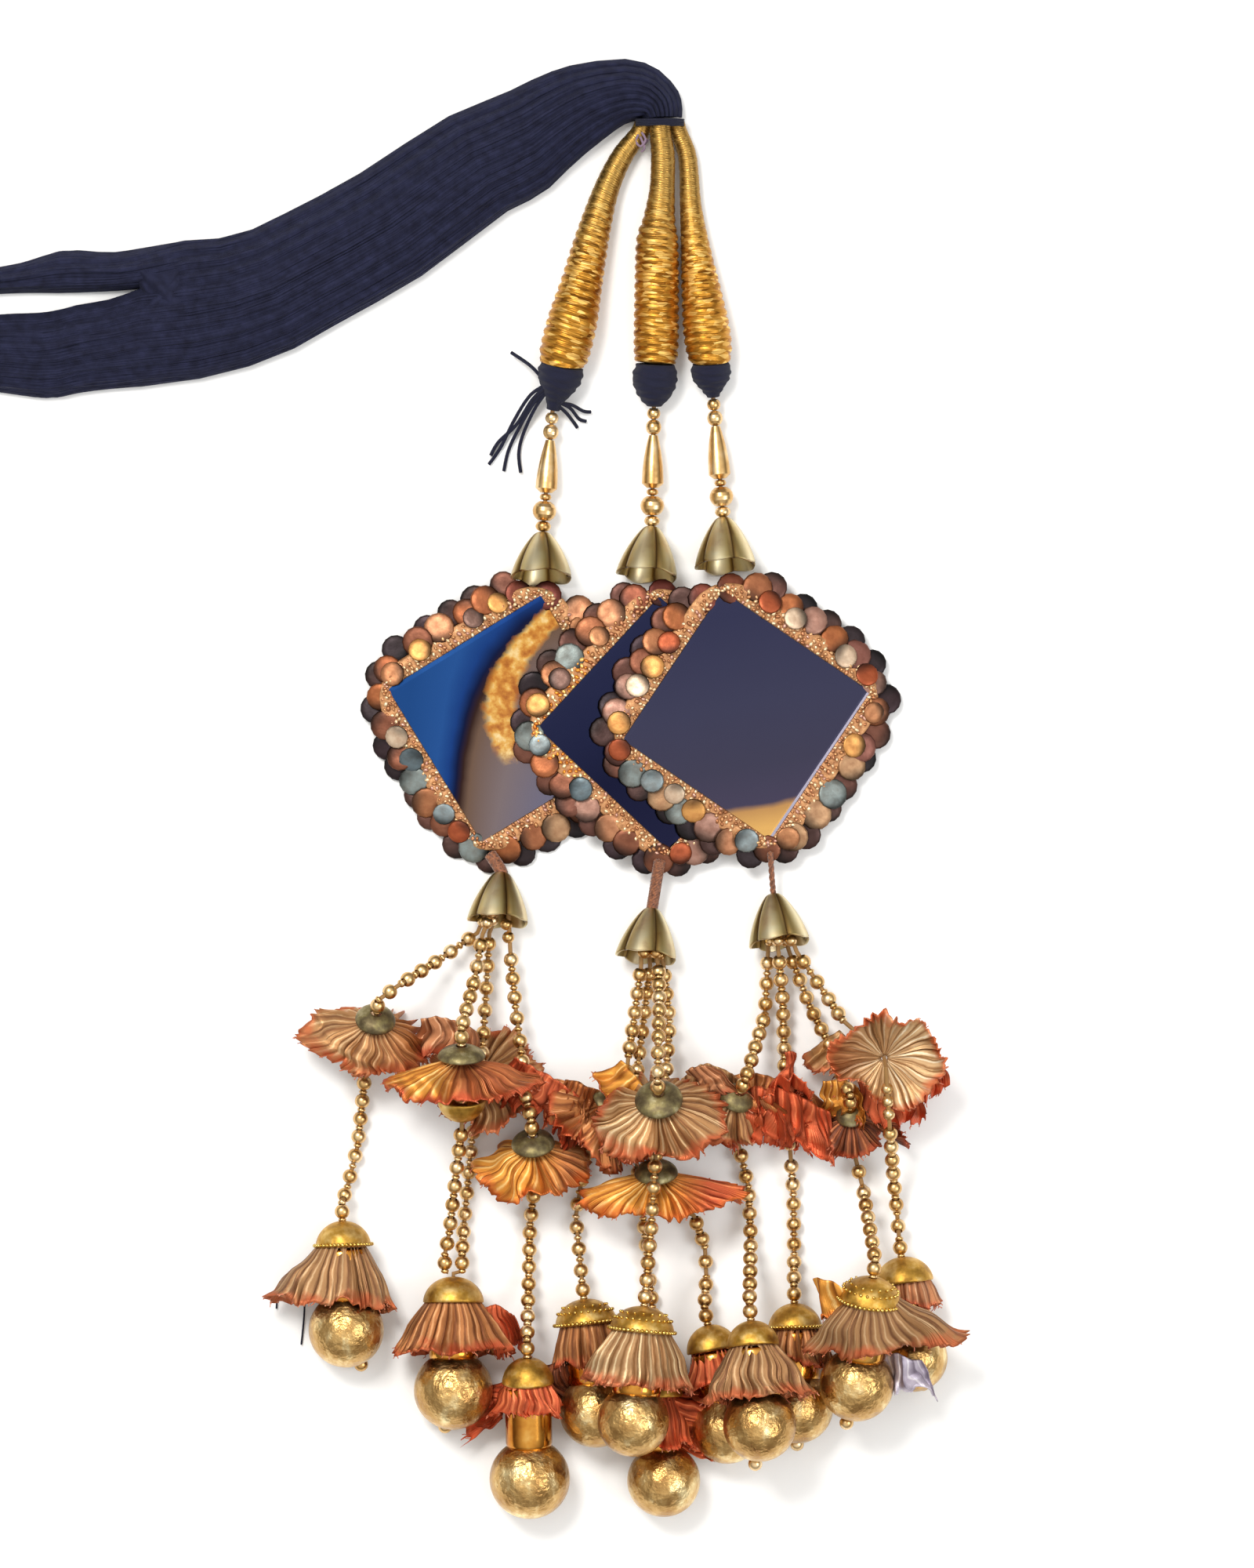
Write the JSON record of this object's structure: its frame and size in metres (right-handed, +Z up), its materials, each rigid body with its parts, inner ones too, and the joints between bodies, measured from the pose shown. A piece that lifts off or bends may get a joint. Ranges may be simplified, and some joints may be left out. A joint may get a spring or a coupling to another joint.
{
  "type": "braid tassel",
  "caption": "Braid tassel lying flat: a hank of dark yarn bound to gold-wound arms, each with a square mirror in a sequin border and a drop of gold bead strings, pleated flowers and balls.",
  "frame": {"origin": "middle of the base of the bounding box, on the surface the tassel lies on", "axes": "+X to the right, +Y from the balls up towards the yarn, +Z up from the surface it lies on"},
  "size_m": [0.2711, 0.388, 0.0389],
  "materials": {
    "dark_yarn": "matt soft yarn",
    "dark_thread": "wound thread",
    "gold_winding": "metallic thread, glittering",
    "link_bead_gold": "polished",
    "petal_cap_gold": "polished",
    "mirror_glass": "silvered glass",
    "lace": "metallic thread lace",
    "sequin": "metallised, mixed colours",
    "hanger_cord": "twisted thread",
    "bead_gold": "gold plated",
    "string_thread": "thread",
    "pleated_ribbon": "metallic ribbon, pleated",
    "dome_gold": "satin",
    "ball_gold": "hammered gold"
  },
  "bodies": {
    "root": {"yarn_bundle": "dark_yarn", "yarn_binding": "dark_thread", "arm_left": "gold_winding", "arm_middle": "gold_winding", "arm_right": "gold_winding", "arm_tip_left": "dark_thread", "arm_tip_middle": "dark_thread", "arm_tip_right": "dark_thread", "link_beads_left": "link_bead_gold", "link_beads_middle": "link_bead_gold", "link_beads_right": "link_bead_gold", "link_threads": "string_thread", "top_cap_left": "petal_cap_gold", "top_cap_middle": "petal_cap_gold", "top_cap_right": "petal_cap_gold", "mirror_left": "mirror_glass", "mirror_middle": "mirror_glass", "mirror_right": "mirror_glass", "mirror_frame_left": "lace", "mirror_frame_middle": "lace", "mirror_frame_right": "lace", "sequins_left": "sequin", "sequins_middle": "sequin", "sequins_right": "sequin", "hangers": "hanger_cord", "drop_cap_left": "petal_cap_gold", "drop_cap_middle": "petal_cap_gold", "drop_cap_right": "petal_cap_gold", "beads_1": "bead_gold", "beads_2": "bead_gold", "beads_3": "bead_gold", "beads_4": "bead_gold", "beads_5": "bead_gold", "beads_6": "bead_gold", "beads_7": "bead_gold", "beads_8": "bead_gold", "beads_9": "bead_gold", "beads_10": "bead_gold", "beads_11": "bead_gold", "beads_12": "bead_gold", "threads_left": "string_thread", "threads_middle": "string_thread", "threads_right": "string_thread", "flowers_left": "pleated_ribbon", "flowers_middle": "pleated_ribbon", "flowers_right": "pleated_ribbon", "flower_caps_left": "dome_gold", "flower_caps_middle": "dome_gold", "flower_caps_right": "dome_gold", "end_caps_left": "dome_gold", "end_caps_middle": "dome_gold", "end_caps_right": "dome_gold", "end_skirts_left": "pleated_ribbon", "end_skirts_middle": "pleated_ribbon", "end_skirts_right": "pleated_ribbon", "end_balls_left": "ball_gold", "end_balls_middle": "ball_gold", "end_balls_right": "ball_gold"}
  },
  "joints": []
}
